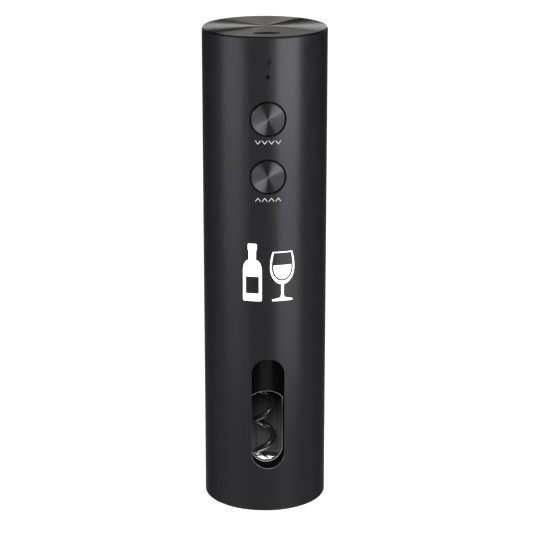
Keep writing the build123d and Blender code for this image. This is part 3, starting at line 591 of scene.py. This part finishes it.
floor_reach = 12.0
floor_corners = [(x * floor_reach, y * floor_reach, 0.0)
                 for x, y in ((-1, -1), (1, -1), (1, 1), (-1, 1))]
floor_mesh = bpy.data.meshes.new("floor")
floor_mesh.from_pydata(floor_corners, [], [(0, 1, 2, 3)])
floor = bpy.data.objects.new("floor", floor_mesh)
scene.collection.objects.link(floor)
floor_paper = new_material("floor_paper", (0.95, 0.95, 0.95), roughness=0.9)[0]
floor_mesh.materials.append(floor_paper)
floor.visible_glossy = False
floor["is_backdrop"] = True


def studio_world():
    """White room. What shiny surfaces mirror is dimmer: a grey floor, a dark horizon with a
    ring of strip lights, and a soft ceiling."""
    white_room = 1.25
    key_glow = 0.25
    fill_glow = 0.12
    strip_count = 16
    strip_glow = 4.5
    ceiling_glow = 0.9
    darkest = 0.06
    world = bpy.data.worlds.new("studio")
    world.use_nodes = True
    world.cycles.sampling_method = "NONE"
    tree = world.node_tree
    white = tree.nodes["Background"]
    white.inputs["Color"].default_value = (1.0, 1.0, 1.0, 1.0)
    white.inputs["Strength"].default_value = white_room

    direction = tree.nodes.new("ShaderNodeTexCoord").outputs["Generated"]
    split = tree.nodes.new("ShaderNodeSeparateXYZ")
    tree.links.new(direction, split.inputs["Vector"])
    x, y, z = (split.outputs[letter] for letter in "XYZ")

    # Below the horizon: the grey floor, lighter straight down and darker behind the object.
    below = soft_step(tree, z, 0.02, -0.06)
    back = soft_step(tree, y, 0.15, 0.75)
    front = span(tree, back, 0.0, 1.0, 1.0, 0.0)
    steep_front = span(tree, z, -0.12, -0.4, 0.36, 0.56)
    steep_back = span(tree, z, -0.12, -0.4, 0.16, 0.42)
    under_level = calc(
        tree, "ADD", calc(tree, "MULTIPLY", steep_front, front),
        calc(tree, "MULTIPLY", steep_back, back),
    )
    # Turn from the front in radians. The floor glows under the key and the fill lamps.
    turn = calc(tree, "ARCTAN2", x, calc(tree, "MULTIPLY", y, -1.0))
    key_side = bump_between(tree, turn, 0.3, 0.55, 0.85, 1.1)
    fill_side = bump_between(tree, turn, -1.65, -1.3, -0.85, -0.6)
    glow = calc(tree, "ADD", calc(tree, "MULTIPLY", key_side, key_glow),
                calc(tree, "MULTIPLY", fill_side, fill_glow))
    under = calc(tree, "MULTIPLY", below, calc(tree, "ADD", under_level, glow))

    # Above the horizon: upright strips all round, which the spun cap stretches, and the ceiling.
    comb = calc(tree, "COSINE", calc(tree, "MULTIPLY", turn, strip_count), 0.0)
    strips = soft_step(tree, comb, 0.0, -0.7)
    strip_foot = soft_step(tree, z, 0.0, 0.06)
    strip_head = soft_step(tree, z, 0.36, 0.28)
    strips = calc(tree, "MULTIPLY", strips, calc(tree, "MULTIPLY", strip_foot, strip_head))
    strips = calc(tree, "MULTIPLY", strips, strip_glow)
    ceiling = calc(tree, "MULTIPLY", soft_step(tree, z, 0.55, 0.8), ceiling_glow)
    dim = calc(tree, "ADD", calc(tree, "ADD", under, strips), ceiling)
    dim = calc(tree, "ADD", dim, darkest)

    mirrored_room = tree.nodes.new("ShaderNodeBackground")
    tree.links.new(dim, mirrored_room.inputs["Strength"])
    shiny = tree.nodes.new("ShaderNodeLightPath").outputs["Is Glossy Ray"]
    mix = tree.nodes.new("ShaderNodeMixShader")
    tree.links.new(shiny, mix.inputs["Fac"])
    tree.links.new(white.outputs["Background"], mix.inputs[1])
    tree.links.new(mirrored_room.outputs["Background"], mix.inputs[2])
    tree.links.new(mix.outputs["Shader"], tree.nodes["World Output"].inputs["Surface"])
    return world


scene.world = studio_world()

camera_pan = radians(-3.0)       # where it stands, from the front
camera_aim = radians(-0.051)     # how far it looks past the axis
camera_pitch = radians(16.55)    # how far it looks down
camera_reach = 927.8 * MM
camera_height = 392.6 * MM
camera_data = bpy.data.cameras.new("camera")
camera_data.lens = 133.0
camera_data.sensor_width = 36.0
camera = bpy.data.objects.new("camera", camera_data)
camera.location = (
    sin(camera_pan) * camera_reach, -cos(camera_pan) * camera_reach, camera_height
)
camera.rotation_euler = (radians(90.0) - camera_pitch, 0.0, camera_pan + camera_aim)
scene.collection.objects.link(camera)
scene.camera = camera


def panel(name, location, aim, width, height, radiance, reflected=True, spread=180.0):
    """Area light that faces a point. A narrow spread, in degrees, keeps the same power."""
    lamp = bpy.data.lights.new(name, "AREA")
    lamp.shape = "RECTANGLE"
    lamp.size = width
    lamp.size_y = height
    lamp.energy = radiance * pi * width * height
    lamp.spread = radians(spread)
    holder = bpy.data.objects.new(name, lamp)
    holder.location = location
    facing = Vector(aim) - Vector(location)
    holder.rotation_euler = facing.to_track_quat("-Z", "Y").to_euler()
    holder.visible_camera = False
    holder.visible_glossy = reflected
    scene.collection.objects.link(holder)


def softbox(name, turn, bottom, top, width, radiance):
    """Upright panel on a circle round the object; turn in degrees from the front."""
    distance = 0.20
    angle = radians(turn)
    middle = (top + bottom) / 2
    panel(
        name, (sin(angle) * distance, -cos(angle) * distance, middle), (0.0, 0.0, middle),
        width, top - bottom, radiance,
    )


# The key is on the right and the fill on the left, both brighter towards the top.
softbox("key_upper", 38.0, 0.15, 0.27, 0.16, 2.3)
softbox("key_middle", 39.0, 0.08, 0.15, 0.14, 1.25)
softbox("key_lower", 39.0, 0.004, 0.08, 0.16, 0.88)
softbox("fill_upper", -60.0, 0.15, 0.27, 0.15, 1.1)
softbox("fill_middle", -60.0, 0.08, 0.15, 0.15, 0.7)
softbox("fill_lower", -56.0, 0.004, 0.08, 0.15, 0.3)

# One lamp gives the worm its glints, one fills the chamber through the window, and one
# stands for the light that the table sends up through the open collar.
panel(
    "worm_light", (0.0, -0.36, 0.476), (0.0, 0.0, 0.03), 0.24, 0.12, 0.4, spread=28.0
)
panel(
    "chamber_light", (-0.054, -0.504, 0.33), (0.0, 0.013, 0.03), 0.2, 0.2, 18.0,
    reflected=False,
)
panel("table_glow", (0.0, -0.01, -0.006), (0.0, -0.01, 0.1), 0.026, 0.02, 3.5)


# ---------------------------------------------------------------- outer bounds and end

low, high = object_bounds()
